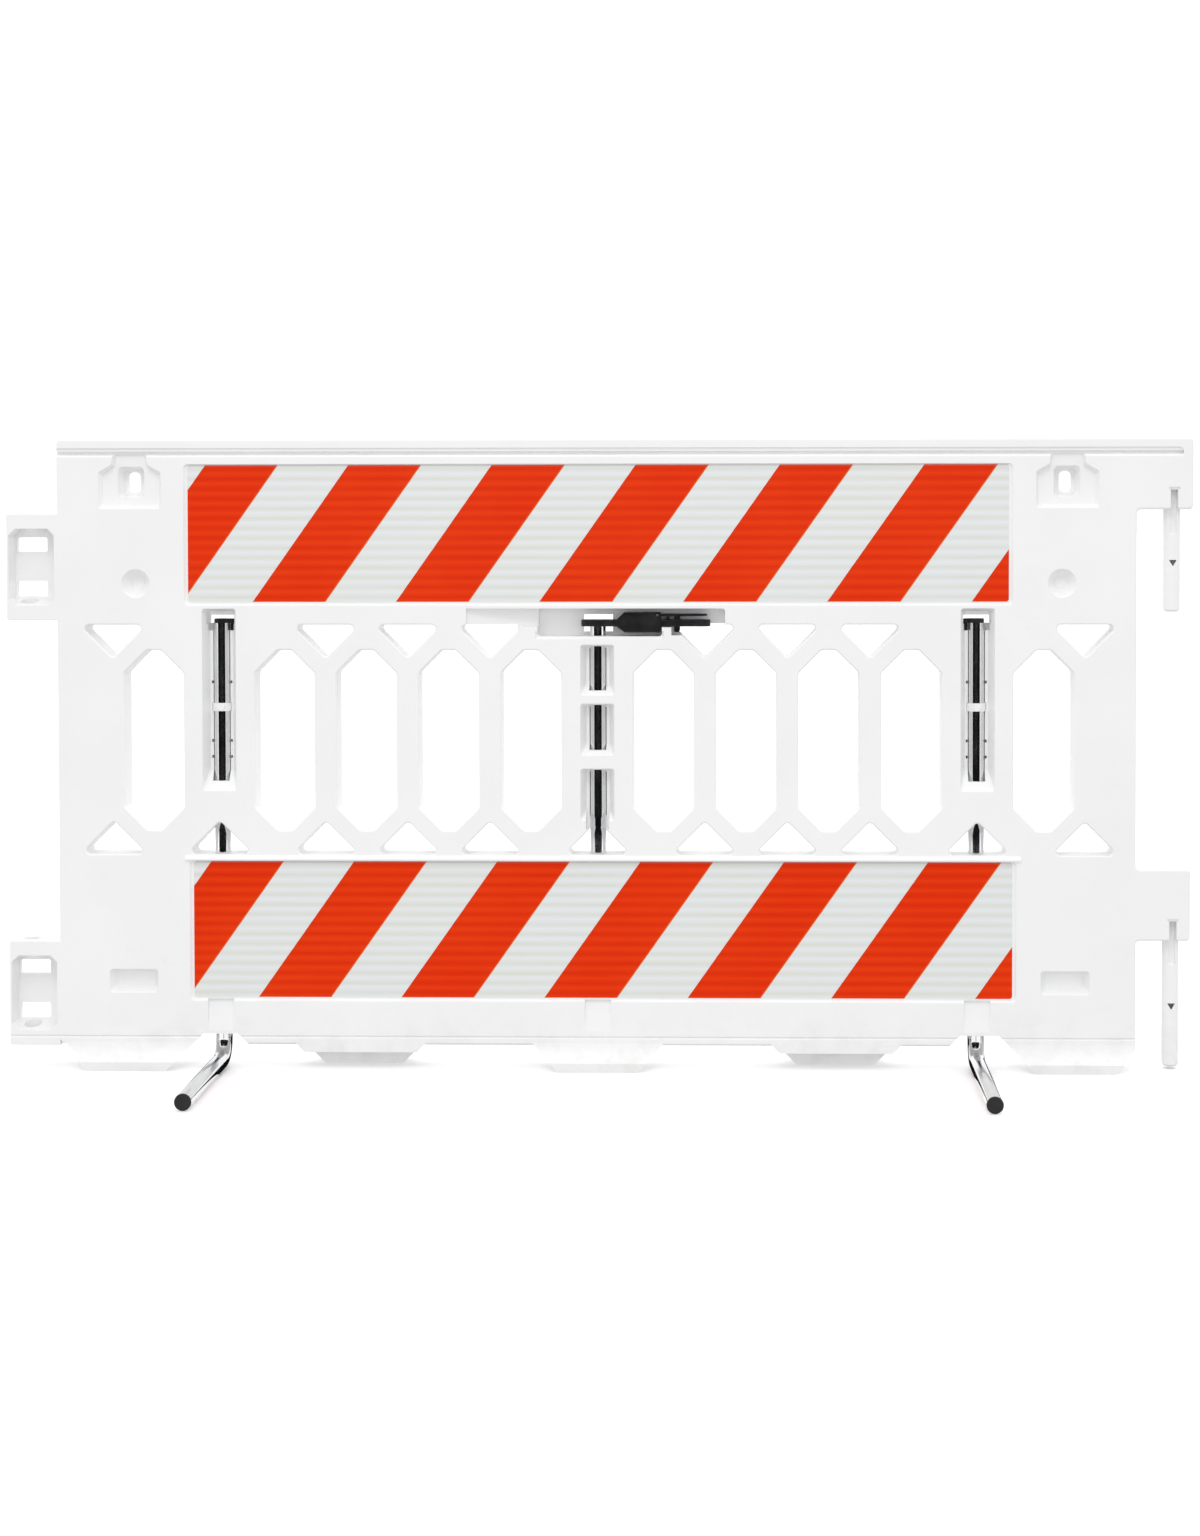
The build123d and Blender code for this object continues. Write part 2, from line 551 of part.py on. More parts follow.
def coupling_pin(arm_low, tip_z, vent_z, screw_z):
    """A hollow drop pin with a bevelled tip, a front flute at its root and a vent."""
    top = arm_low + PIN_SEAT
    pin = rod(COUPLING_X, 0, PIN_R, tip_z, arm_low)
    pin = chamfer(pin.edges().sort_by(Axis.Z)[0], 3)
    pin += rod(COUPLING_X, 0, PIN_ROOT_R, arm_low, top)
    flute_z = arm_low - FLUTE_L
    pin -= rod(COUPLING_X, 0, PIN_HOLLOW_R, tip_z - 1, flute_z - 8)
    flute = block((COUPLING_X - 5, COUPLING_X + 5), (-PIN_R - 1, -PIN_R + FLUTE_DEPTH), (flute_z, top))
    flute += Pos(COUPLING_X, -PIN_R, flute_z) * Rot(0, 90, 0) * Cylinder(FLUTE_DEPTH, 10)
    pin -= flute
    vent = polygon([(-6, 5), (6, 5), (0, -5)], 0.8)
    pin -= slab(Pos(COUPLING_X, vent_z) * vent, -PIN_R - 1, 0)
    pin -= Pos(COUPLING_X, PIN_R, screw_z) * Rot(90, 0, 0) * Cylinder(SCREW_R, 2 * PIN_SCREW_BITE)
    return pin


def pin_screws():
    """The screws that hold the drop pins in the arms, from the back."""
    screws = []
    for z in PIN_SCREW_Z:
        seat_y = FACE - 3.5
        length = seat_y - PIN_R + PIN_SCREW_BITE
        shank = Pos(COUPLING_X, seat_y, z) * Rot(90, 0, 0) * Cylinder(SCREW_R, length, align=BASE)
        head = Pos(COUPLING_X, seat_y, z) * Rot(-90, 0, 0) * Cylinder(SCREW_HEAD_R, SCREW_HEAD_H, align=BASE)
        screws.append(shank + fillet(head.edges().group_by(Axis.Y)[-1], 1.2))
    return Compound(children=screws)


# ---- legs ----
def leg_tube(x, top, way):
    """A bent tube: upright, a quarter bend, and a foot that points along way (-1 front, +1 back)."""
    foot_end = way * (FOOT_REACH - PLUG_HEAD)
    sag = BEND_R * (1 - math.sqrt(0.5))
    run = Line((x, 0, top), (x, 0, TUBE_R + BEND_R))
    bend = ThreePointArc(run @ 1, (x, way * sag, TUBE_R + sag), (x, way * BEND_R, TUBE_R))
    foot = Line(bend @ 1, (x, foot_end, TUBE_R))
    path = run + bend + foot
    start = Plane(origin=(x, 0, top), z_dir=(0, 0, -1))
    tube = sweep(start * Circle(TUBE_R), path=path) - sweep(start * Circle(TUBE_R - TUBE_WALL), path=path)
    tube -= Pos(x, 0, top - CROSS_PIN_DROP) * Rot(0, 90, 0) * Cylinder(CROSS_PIN_R, 2 * TUBE_R + 2)
    return tube


def foot_plug(x, way):
    """The domed plug that closes a foot."""
    end = way * FOOT_REACH
    turn = Rot(90, 0, 0) if way < 0 else Rot(-90, 0, 0)
    head = Pos(x, end - way * PLUG_HEAD, TUBE_R) * turn * Cylinder(TUBE_R, PLUG_HEAD, align=BASE)
    rim = head.edges().group_by(Axis.Y)[0 if way < 0 else -1]
    head = fillet(rim, 2.5)
    inward = Rot(-90, 0, 0) if way < 0 else Rot(90, 0, 0)
    shank = Pos(x, end - way * PLUG_HEAD, TUBE_R) * inward * Cylinder(TUBE_R - TUBE_WALL, 18, align=BASE)
    return head + shank


def spigot(x, top):
    """The part of a top plate that fills the tube's end."""
    radius = TUBE_R - TUBE_WALL
    plug = rod(x, 0, radius, top - SPIGOT_L, top)
    plug -= Pos(x, 0, top - CROSS_PIN_DROP) * Rot(0, 90, 0) * Cylinder(CROSS_PIN_R, 4 * TUBE_R)
    return plug


def stop_plate(x, nose):
    """The plate on an outer tube: its nose and peg limit the swing. nose is +1 or -1 along X."""
    disc = Pos(x, 0) * Circle(11.5)
    tongue = Pos(x + nose * 6.5, 0) * Rectangle(13, 13) + Pos(x + nose * 13, 0) * Circle(6.5)
    plate = upright(disc + tongue, OUTER_TUBE_TOP, OUTER_TUBE_TOP + 6.3)
    plate = fillet(plate.edges().group_by(Axis.Z)[-1], 0.8)
    peg = rod(x + nose * 16.2, 0, 3.6, 654.4, OUTER_TUBE_TOP)
    peg = fillet(peg.edges().group_by(Axis.Z)[0], 1.5)
    return plate + peg + spigot(x, OUTER_TUBE_TOP)


def cross_pin(x, top):
    """The spring pin through a tube and the spigot inside it."""
    bar = Pos(x, 0, top - CROSS_PIN_DROP) * Rot(0, 90, 0) * Cylinder(CROSS_PIN_R, 2 * TUBE_R - 1.5)
    bar -= Pos(x, 0, top - CROSS_PIN_DROP) * Rot(0, 90, 0) * Cylinder(CROSS_PIN_R - 1.0, 3 * TUBE_R)
    slit = Pos(x, 0, top - CROSS_PIN_DROP - CROSS_PIN_R) * Box(3 * TUBE_R, 0.6, 2.4)
    return bar - slit


def tube_clip(x):
    """The saddle clip that keeps an outer tube in its trough: a strap, a round pad and two legs."""
    ring = Circle(CLIP_R + CLIP_T) - Circle(CLIP_R)
    strap = ring & Pos(0, -CLIP_R) * Rectangle(3 * CLIP_R, 2 * CLIP_R)
    shape = strap
    for side in (-1, 1):
        shape += Pos(side * (CLIP_R + CLIP_T / 2), CLIP_DEPTH / 2) * Rectangle(CLIP_T, CLIP_DEPTH)
    clip = upright(Pos(x, 0) * shape, CLIP_Z - CLIP_H / 2, CLIP_Z + CLIP_H / 2)
    pad = Pos(x, -CLIP_R - 0.5, CLIP_Z) * Rot(90, 0, 0) * Cylinder(CLIP_H / 2, CLIP_T + 0.6, align=BASE)
    return clip + fillet(pad.edges().group_by(Axis.Y)[0], 0.8)


# ---- lever ----
def lever_arm():
    """The flat arm on top of the middle tube, with the tail, the latch's slot and the spigot."""
    low, high = LEVER_Z
    tail_x = LEVER_TAIL + LEVER_HALF
    tip_x = LEVER_END - LEVER_HALF
    shape = Pos((tail_x + tip_x) / 2, 0) * Rectangle(tip_x - tail_x, 2 * LEVER_HALF)
    shape += Pos(tail_x, 0) * Circle(LEVER_HALF) + Pos(tip_x, 0) * Circle(LEVER_HALF)
    arm = upright(shape, low, high)
    ends = arm.edges().group_by(Axis.Z)
    arm = fillet(ends[0] + ends[-1], 1.5)
    arm -= block((TOOTH_X[0] - 1.5, TOOTH_X[1] + 1.5), (-6, 6), (low - 1, high + 1))
    arm -= rod(SPRING_X, 0, SPRING_R + 1.0, high - 2, high + 1)
    for x in GRIP_SCREW_X:
        arm -= rod(x, 0, GRIP_SCREW_R, low - 1, high + 1)
    return arm + spigot(0.0, low)


def grip():
    """The hand grip moulded round the arm, with the latch's slot at its outer end."""
    x_low, x_high = GRIP_X
    z_low, z_high = GRIP_Z
    face = [(x_low, LEVER_Z[0] + 1), (x_low + 13, z_low), (x_high, z_low), (x_high, z_high),
            (x_low + 12, z_high), (x_low, LEVER_Z[1] - 1)]
    body = slab(polygon(face, 2.5), -GRIP_HALF, GRIP_HALF)
    sides = body.faces().sort_by(Axis.Y)
    body = fillet(sides[0].edges() + sides[-1].edges(), 2.0)
    body -= block((x_low - 1, x_high + 1), (-LEVER_HALF, LEVER_HALF), LEVER_Z)
    slot_low = LATCH_PIN_Z - LATCH_EYE_R - 0.5
    slot_x = (LATCH_PIN_X - LATCH_EYE_R - 1, x_high + 1)
    body -= block(slot_x, (-LATCH_HALF - 0.4, LATCH_HALF + 0.4), (slot_low, z_high + 1))
    body -= Pos(LATCH_PIN_X, 0, LATCH_PIN_Z) * Rot(90, 0, 0) * Cylinder(LATCH_PIN_R, 2 * GRIP_HALF + 2)
    for x in GRIP_SCREW_X:
        body -= rod(x, 0, GRIP_SCREW_R, z_low + 5, LEVER_Z[1] + 5)
        body -= rod(x, 0, GRIP_SCREW_R + 2.6, z_low - 1, z_low + 5)
    return body


def grip_screws():
    """The screws that hold the grip to the arm, from below."""
    screws = []
    z_low = GRIP_Z[0]
    for x in GRIP_SCREW_X:
        shank = rod(x, 0, GRIP_SCREW_R, z_low + 5, LEVER_Z[1] + 5)
        head = fillet(rod(x, 0, GRIP_SCREW_R + 2.2, z_low + 2, z_low + 5).edges().group_by(Axis.Z)[0], 0.8)
        screws.append(shank + head)
    return Compound(children=screws)


def latch():
    """The sprung blade above the arm, whose tooth drops through the arm into the panel's catch."""
    z_low, z_high = LATCH_PIN_Z - 1.8, LATCH_PIN_Z + 1.8
    blade = [(LATCH_PIN_X, z_low), (TOOTH_X[1] + 6, z_low), (BLADE_END, z_low + 0.6),
             (BLADE_END, z_high - 0.4), (LATCH_PIN_X, z_high)]
    body = slab(polygon(blade), -LATCH_HALF, LATCH_HALF)
    body = fillet(body.edges().filter_by(Axis.Z).group_by(Axis.X)[-1], 6)
    body += Pos(LATCH_PIN_X, 0, LATCH_PIN_Z) * Rot(90, 0, 0) * Cylinder(LATCH_EYE_R, 2 * LATCH_HALF)
    x_low, x_high = TOOTH_X
    tooth = [(x_low, z_low + 1), (x_high, z_low + 1), (x_high, TOOTH_Z + 3), (x_high - 2.5, TOOTH_Z),
             (x_low + 1.5, TOOTH_Z), (x_low, TOOTH_Z + 1.5)]
    body += slab(polygon(tooth), -5, 5)
    body -= Pos(LATCH_PIN_X, 0, LATCH_PIN_Z) * Rot(90, 0, 0) * Cylinder(LATCH_PIN_R + 0.06, 3 * LATCH_HALF)
    return body


def latch_pin():
    return Pos(LATCH_PIN_X, 0, LATCH_PIN_Z) * Rot(90, 0, 0) * Cylinder(LATCH_PIN_R, 2 * GRIP_HALF - 1)


def latch_spring():
    """The small coil spring under the blade."""
    low, high = LEVER_Z[1] - 1.9, LATCH_PIN_Z - 1.9
    wire = 0.45
    height = high - low - 2 * wire
    helix = Helix(pitch=height / 4, height=height, radius=SPRING_R)
    section = Plane(origin=helix @ 0, z_dir=helix % 0) * Circle(wire)
    return Pos(SPRING_X, 0, low + wire) * sweep(section, path=helix, is_frenet=True)


def write(name, part):
    export_step(part, os.path.join("parts", name + ".step"))


def main():
    os.makedirs("parts", exist_ok=True)
    write("panel", panel())
    write("front_sheet_upper", sheet(UPPER_SHEET, True))
    write("front_sheet_lower", sheet(LOWER_SHEET, True))
    write("back_sheet_upper", sheet(UPPER_SHEET, False))
    write("back_sheet_lower", sheet(LOWER_SHEET, False))
    for name, (z_low, z_high) in zip(("upper", "lower"), SOCKETS_Z):
        write("socket_" + name, socket(z_low, z_high))
    pins = zip(("upper", "lower"), ARMS_Z, PIN_TIPS_Z, PIN_VENTS_Z, PIN_SCREW_Z)
    for name, (arm_low, _), tip_z, vent_z, screw_z in pins:
        write("drop_pin_" + name, coupling_pin(arm_low, tip_z, vent_z, screw_z))
    write("socket_screws", socket_screws())
    write("drop_pin_screws", pin_screws())
    for name, side in (("left", -1), ("right", 1)):
        x = side * LEG_X
        write(name + "_leg_tube", leg_tube(x, OUTER_TUBE_TOP, -1))
        write(name + "_foot_plug", foot_plug(x, -1))
        write(name + "_stop_plate", stop_plate(x, -side))
        write(name + "_cross_pin", cross_pin(x, OUTER_TUBE_TOP))
        write(name + "_tube_clip", tube_clip(x))
    write("centre_leg_tube", leg_tube(0.0, CENTRE_TUBE_TOP, 1))
    write("centre_foot_plug", foot_plug(0.0, 1))
    write("centre_cross_pin", cross_pin(0.0, CENTRE_TUBE_TOP))
    write("lever_arm", lever_arm())
    write("lever_grip", grip())
    write("grip_screws", grip_screws())
    write("lever_latch", latch())
    write("latch_pin", latch_pin())
    write("latch_spring", latch_spring())


main()
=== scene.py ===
import math

import bmesh
import bpy
from mathutils import Matrix, Vector


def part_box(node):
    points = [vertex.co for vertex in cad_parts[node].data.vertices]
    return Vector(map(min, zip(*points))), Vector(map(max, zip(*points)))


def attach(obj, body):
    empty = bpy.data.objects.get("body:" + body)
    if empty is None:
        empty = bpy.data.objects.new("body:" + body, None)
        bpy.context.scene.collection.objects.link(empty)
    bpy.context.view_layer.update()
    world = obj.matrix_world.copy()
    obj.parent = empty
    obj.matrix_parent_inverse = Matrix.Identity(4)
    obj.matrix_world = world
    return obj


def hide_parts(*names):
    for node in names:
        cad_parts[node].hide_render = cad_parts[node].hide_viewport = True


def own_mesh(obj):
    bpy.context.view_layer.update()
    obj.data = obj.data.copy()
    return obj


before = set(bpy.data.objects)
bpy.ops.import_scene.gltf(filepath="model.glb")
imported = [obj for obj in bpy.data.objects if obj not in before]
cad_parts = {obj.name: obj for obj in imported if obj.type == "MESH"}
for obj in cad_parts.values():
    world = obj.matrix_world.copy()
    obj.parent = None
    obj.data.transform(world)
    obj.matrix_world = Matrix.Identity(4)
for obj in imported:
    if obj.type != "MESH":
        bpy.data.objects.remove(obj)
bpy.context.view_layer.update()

# ---- view ----
IMAGE_W, IMAGE_H = 1200, 1536
FOCAL_PX = 2386.0
PRINCIPAL = (690.0, 560.0)
CAMERA_AT = Vector((0.208, -3.557, 0.848))
YAW_LEFT = 0.0198
PITCH_DOWN = 0.0250
ROLL = 0.0012


# ---- sheeting (metres, degrees) ----
STRIPE_ANGLE = 54.8
STRIPE_PERIOD = 0.2136
STRIPE_WIDTH = 0.1085
STRIPE_START = 0.0965       # where a stripe starts on the lower edge, from the left edge
RIB_PITCH = 0.01465
SHEET_TALL = 0.2032

# ---- latch spring ----
SPRING_WIRE = 0.00045       # radius of the wire
SPRING_TURNS = 4
RING_SIDES = 10
RINGS_PER_TURN = 28

# ---- studio ----
WORLD_FRONT = 0.86          # strengths of the white surround
WORLD_BACK = 1.09
WORLD_LOW = 0.70
WORLD_TOP = 1.30
FLOOR_HALF = 60.0
FLOOR_DROP = 0.0004         # the floor lies just under the lugs and feet, which stand at z = 0
FLOOR_GLOW = 0.15
CARD_FRONT = ((-2.0, 2.0), -1.2, (0.03, 2.2))
CARD_FLOOR = ((-0.75, 0.75), (-0.07, 0.4), -0.0002)
KEY_LIGHT = {"at": (-0.3, -2.9, 3.6), "aim": (0.0, 0.0, 0.5), "size": (1.4, 0.9), "power": 22.0}
FILL_LIGHT = {"at": (0.0, -5.2, 0.9), "aim": (0.0, 0.0, 0.6), "size": (4.0, 1.6), "power": 20.0}


# ---- shader helpers ----
class Shader:
    """A small wrapper round one material's node tree."""

    def __init__(self, name):
        self.material = bpy.data.materials.new(name)
        self.material.use_nodes = True
        self.tree = self.material.node_tree
        self.tree.nodes.clear()
        self.out = self.tree.nodes.new("ShaderNodeOutputMaterial")
        self.surface = self.tree.nodes.new("ShaderNodeBsdfPrincipled")
        self.tree.links.new(self.surface.outputs[0], self.out.inputs["Surface"])
        self.place = self.tree.nodes.new("ShaderNodeTexCoord").outputs["Object"]

    def link(self, value, socket):
        if isinstance(value, bpy.types.NodeSocket):
            self.tree.links.new(value, socket)
        elif value is not None:
            if isinstance(value, (tuple, list)) and len(value) == 3 and socket.type == "RGBA":
                value = (*value, 1.0)
            socket.default_value = value

    def math(self, operation, a, b=None, c=None, clamp=False):
        node = self.tree.nodes.new("ShaderNodeMath")
        node.operation = operation
        node.use_clamp = clamp
        for value, socket in zip((a, b, c), node.inputs):
            self.link(value, socket)
        return node.outputs[0]

    def ramp(self, value, low, high, out_low=0.0, out_high=1.0, smooth=True):
        node = self.tree.nodes.new("ShaderNodeMapRange")
        node.interpolation_type = "SMOOTHSTEP" if smooth else "LINEAR"
        node.clamp = True
        for item, socket in zip((value, low, high, out_low, out_high), node.inputs):
            self.link(item, socket)
        return node.outputs[0]

    def mix(self, factor, a, b):
        node = self.tree.nodes.new("ShaderNodeMix")
        node.data_type = "RGBA"
        node.clamp_factor = True
        self.link(factor, node.inputs[0])
        self.link(a, node.inputs[6])
        self.link(b, node.inputs[7])
        return node.outputs[2]

    def stretch(self, scale, source=None):
        node = self.tree.nodes.new("ShaderNodeMapping")
        node.inputs["Scale"].default_value = scale
        self.link(source or self.place, node.inputs["Vector"])
        return node.outputs[0]

    def noise(self, scale, detail=3.0, rough=0.55, source=None, distortion=0.0):
        node = self.tree.nodes.new("ShaderNodeTexNoise")
        node.inputs["Scale"].default_value = scale
        node.inputs["Detail"].default_value = detail
        node.inputs["Roughness"].default_value = rough
        node.inputs["Distortion"].default_value = distortion
        self.link(source or self.place, node.inputs["Vector"])
        return node.outputs["Fac"]

    def cells(self, scale, feature="F1", source=None, randomness=1.0):
        node = self.tree.nodes.new("ShaderNodeTexVoronoi")
        node.feature = feature
        node.inputs["Scale"].default_value = scale
        node.inputs["Randomness"].default_value = randomness
        self.link(source or self.place, node.inputs["Vector"])
        return node.outputs["Distance"]

    def axes(self):
        node = self.tree.nodes.new("ShaderNodeSeparateXYZ")
        self.link(self.place, node.inputs[0])
        return node.outputs

    def bump(self, height, distance, strength=1.0, below=None):
        node = self.tree.nodes.new("ShaderNodeBump")
        node.inputs["Strength"].default_value = strength
        node.inputs["Distance"].default_value = distance
        self.link(height, node.inputs["Height"])
        if below is not None:
            self.link(below, node.inputs["Normal"])
        return node.outputs[0]

    def set(self, **sockets):
        for name, value in sockets.items():
            self.link(value, self.surface.inputs[name.replace("_", " ")])
        return self.material


def scaled(tone, *factors):
    """A tone times one factor, or times one for each channel, kept within 1."""
    if len(factors) == 1:
        factors *= 3
    return tuple(min(1.0, c * f) for c, f in zip(tone, factors))


def scratches(sh, scale, stretch, width):
    """Thin bright lines where stretched noise crosses its middle value."""
    field = sh.noise(scale, 2.0, 0.5, sh.stretch(stretch), 0.6)
    away = sh.math("ABSOLUTE", sh.math("SUBTRACT", field, 0.5))
    return sh.ramp(away, 0.0, width, 1.0, 0.0)


# ---- materials ----
def moulded_plastic(name, tone, grime=1.0):
    """Blow-moulded polyethylene: orange peel, mottling, faint scuffs, and mottled grey patches that darken it
    towards the ground.
    """
    sh = Shader(name)
    z = sh.axes()["Z"]
    mottle = sh.ramp(sh.noise(7.0, 4.0, 0.6), 0.3, 0.7)
    colour = sh.mix(mottle, scaled(tone, 0.985), scaled(tone, 1.012))
    cloud = sh.math("MULTIPLY", sh.ramp(sh.noise(2.3, 2.0, 0.5), 0.35, 0.75), 0.25)
    colour = sh.mix(cloud, colour, scaled(tone, 0.975, 0.98, 0.985))
    speck = sh.ramp(sh.cells(230.0), 0.05, 0.12, 1.0, 0.0)
    speck = sh.math("MULTIPLY", speck, sh.ramp(sh.noise(31.0, 2.0), 0.60, 0.72))
    colour = sh.mix(sh.math("MULTIPLY", speck, 0.22 * grime), colour, (0.42, 0.41, 0.39))
    scuff = scratches(sh, 9.0, (1.0, 1.0, 5.0), 0.004)
    scuff = sh.math("MULTIPLY", scuff, sh.ramp(sh.noise(4.0, 2.0), 0.55, 0.70))
    colour = sh.mix(sh.math("MULTIPLY", scuff, 0.16 * grime), colour, (0.62, 0.61, 0.59))
    # darker and rougher towards the ground: mottled grey patches, strongest at z = 0 and gone by 0.11 m up
    low = sh.ramp(z, 0.0, 0.11, 1.0, 0.0)
    grey_patches = sh.math("MULTIPLY", low, sh.ramp(sh.noise(26.0, 5.0, 0.65), 0.42, 0.75))
    colour = sh.mix(sh.math("MULTIPLY", grey_patches, 0.20 * grime), colour, (0.50, 0.48, 0.45))
    rough = sh.ramp(sh.noise(38.0, 4.0, 0.6), 0.3, 0.7, 0.40, 0.50)
    rough = sh.math("ADD", rough, sh.math("MULTIPLY", scuff, 0.15))
    rough = sh.math("ADD", rough, sh.math("MULTIPLY", grey_patches, 0.2), clamp=True)
    peel = sh.noise(420.0, 3.0, 0.5)
    sink = sh.noise(14.0, 2.0, 0.5)
    normal = sh.bump(sink, 0.0012, 0.35)
    normal = sh.bump(peel, 0.00012, 0.5, normal)
    normal = sh.bump(scuff, 0.00008, 0.4, normal)
    sh.set(Base_Color=colour, Roughness=rough, Normal=normal)
    sh.surface.inputs["Specular IOR Level"].default_value = 0.32
    return sh.material


def sheeting(name, left, bottom, way):
    """Prismatic reflective sheeting: sloping orange and white stripes, weld ribs, a clear top film and a
    painted shadow along the top edge.
    """
    sh = Shader(name)
    place = sh.axes()
    along = sh.math("MULTIPLY", sh.math("SUBTRACT", place["X"], left), way)
    up = sh.math("SUBTRACT", place["Z"], bottom)
    slant = sh.math("SUBTRACT", along, sh.math("MULTIPLY", up, 1 / math.tan(math.radians(STRIPE_ANGLE))))
    slant = sh.math("ADD", slant, STRIPE_PERIOD * 4 - STRIPE_START)
    wander = sh.math("MULTIPLY", sh.math("SUBTRACT", sh.noise(160.0, 2.0), 0.5), 0.0006)
    cell = sh.math("FRACT", sh.math("DIVIDE", sh.math("ADD", slant, wander), STRIPE_PERIOD))
    cell = sh.math("MULTIPLY", cell, STRIPE_PERIOD)
    off_middle = sh.math("ABSOLUTE", sh.math("SUBTRACT", cell, STRIPE_WIDTH / 2))
    inside = sh.math("SUBTRACT", STRIPE_WIDTH / 2, off_middle)
    orange_here = sh.ramp(inside, -0.0003, 0.0003)
    starts = sh.ramp(sh.math("ABSOLUTE", sh.math("SUBTRACT", cell, 0.0007)), 0.0003, 0.0012, 1.0, 0.0)
    ends = sh.math("ABSOLUTE", sh.math("SUBTRACT", cell, STRIPE_WIDTH - 0.0007))
    ends = sh.ramp(ends, 0.0004, 0.0022, 1.0, 0.0)
    # the weld lines of the prismatic film, stronger in some places than in others
    rib = sh.math("FRACT", sh.math("DIVIDE", up, RIB_PITCH))
    off_line = sh.math("ABSOLUTE", sh.math("SUBTRACT", rib, 0.5))
    drift = sh.noise(6.0, 3.0, 0.6, sh.stretch((1.0, 1.0, 9.0)))
    line = sh.math("MULTIPLY", sh.ramp(off_line, 0.04, 0.30, 1.0, 0.0), sh.ramp(drift, 0.25, 0.75, 0.45, 1.0))
    crest = sh.ramp(off_line, 0.28, 0.50)
    broad = sh.ramp(sh.noise(3.0, 2.0, 0.5, sh.stretch((1.0, 1.0, 2.0))), 0.35, 0.70)
    white = sh.mix(broad, (0.785, 0.815, 0.825), (0.792, 0.808, 0.795))
    white = sh.mix(sh.math("MULTIPLY", crest, 0.6), white, (0.845, 0.865, 0.875))
    white = sh.mix(sh.math("MULTIPLY", line, 0.85), white, (0.735, 0.735, 0.655))
    orange = sh.mix(sh.ramp(sh.noise(5.0, 3.0), 0.35, 0.7), (0.800, 0.033, 0.0020), (0.830, 0.043, 0.0030))
    orange = sh.mix(sh.math("MULTIPLY", crest, 0.5), orange, (0.860, 0.055, 0.0045))
    orange = sh.mix(sh.math("MULTIPLY", line, 0.70), orange, (0.690, 0.024, 0.0020))
    colour = sh.mix(orange_here, white, orange)
    colour = sh.mix(sh.math("MULTIPLY", starts, 0.45), colour, (0.50, 0.025, 0.006))
    colour = sh.mix(sh.math("MULTIPLY", ends, 0.45), colour, (0.86, 0.16, 0.010))
    # painted shadow: a dark band along the top 3 mm of the sheet, standing in for the shade the recess wall
    # above casts on it
    top_edge_shadow = sh.ramp(sh.math("SUBTRACT", SHEET_TALL, up), 0.0008, 0.0032, 1.0, 0.0)
    colour = sh.mix(sh.math("MULTIPLY", top_edge_shadow, 0.30), colour, (0.34, 0.24, 0.22))
    prism = sh.cells(520.0, "F1", None, 0.15)
    rough = sh.ramp(sh.noise(60.0, 3.0), 0.3, 0.7, 0.28, 0.38)
    normal = sh.bump(line, 0.00025, 0.5)
    normal = sh.bump(prism, 0.00005, 0.25, normal)
    normal = sh.bump(sh.noise(11.0, 2.0), 0.0006, 0.25, normal)
    sh.set(Base_Color=colour, Roughness=rough, Normal=normal)
    sh.surface.inputs["Specular IOR Level"].default_value = 0.05
    sh.surface.inputs["Coat Weight"].default_value = 0.02
    sh.surface.inputs["Coat Roughness"].default_value = 0.15
    return sh.material


def plated_tube():
    """Bright zinc-chrome plated tube: drawn lines along it, tiny pits, faint haze."""
    sh = Shader("plated_tube")
    drawn = sh.noise(900.0, 2.0, 0.5, sh.stretch((1.0, 1.0, 0.02)))
    haze = sh.noise(18.0, 4.0, 0.6)
    pits = sh.ramp(sh.cells(700.0), 0.04, 0.10, 1.0, 0.0)
    pits = sh.math("MULTIPLY", pits, sh.ramp(sh.noise(40.0, 2.0), 0.58, 0.70))
    colour = sh.mix(sh.ramp(haze, 0.35, 0.7), (0.84, 0.845, 0.855), (0.76, 0.765, 0.775))
    colour = sh.mix(sh.math("MULTIPLY", pits, 0.5), colour, (0.35, 0.33, 0.30))
    rough = sh.ramp(haze, 0.3, 0.75, 0.06, 0.14)
    rough = sh.math("ADD", rough, sh.math("MULTIPLY", pits, 0.3))
    normal = sh.bump(drawn, 0.00002, 0.25)
    normal = sh.bump(pits, 0.00005, 0.3, normal)
    sh.set(Base_Color=colour, Roughness=rough, Normal=normal)
    sh.surface.inputs["Metallic"].default_value = 1.0
    return sh.material


def dark_moulding(name, tone, rough_low, rough_high, grain):
    """Black moulded plastic or rubber: fine grain, rubbed patches, a few dusty grey patches."""
    sh = Shader(name)
    rub = sh.noise(55.0, 4.0, 0.6)
    grey_patches = sh.ramp(sh.noise(140.0, 4.0, 0.7), 0.55, 0.8)
    grey_patches = sh.math("MULTIPLY", grey_patches, sh.ramp(sh.noise(22.0, 2.0), 0.4, 0.7))
    colour = sh.mix(sh.ramp(rub, 0.35, 0.7), tone, scaled(tone, 1.9))
    colour = sh.mix(sh.math("MULTIPLY", grey_patches, 0.12), colour, (0.20, 0.19, 0.18))
    rough = sh.ramp(rub, 0.3, 0.7, rough_low, rough_high)
    normal = sh.bump(sh.noise(grain, 2.0, 0.5), 0.00012, 0.5)
    normal = sh.bump(scratches(sh, 60.0, (1.0, 3.0, 1.0), 0.01), 0.00006, 0.3, normal)
    sh.set(Base_Color=colour, Roughness=rough, Normal=normal)
    sh.surface.inputs["Specular IOR Level"].default_value = 0.35
    return sh.material


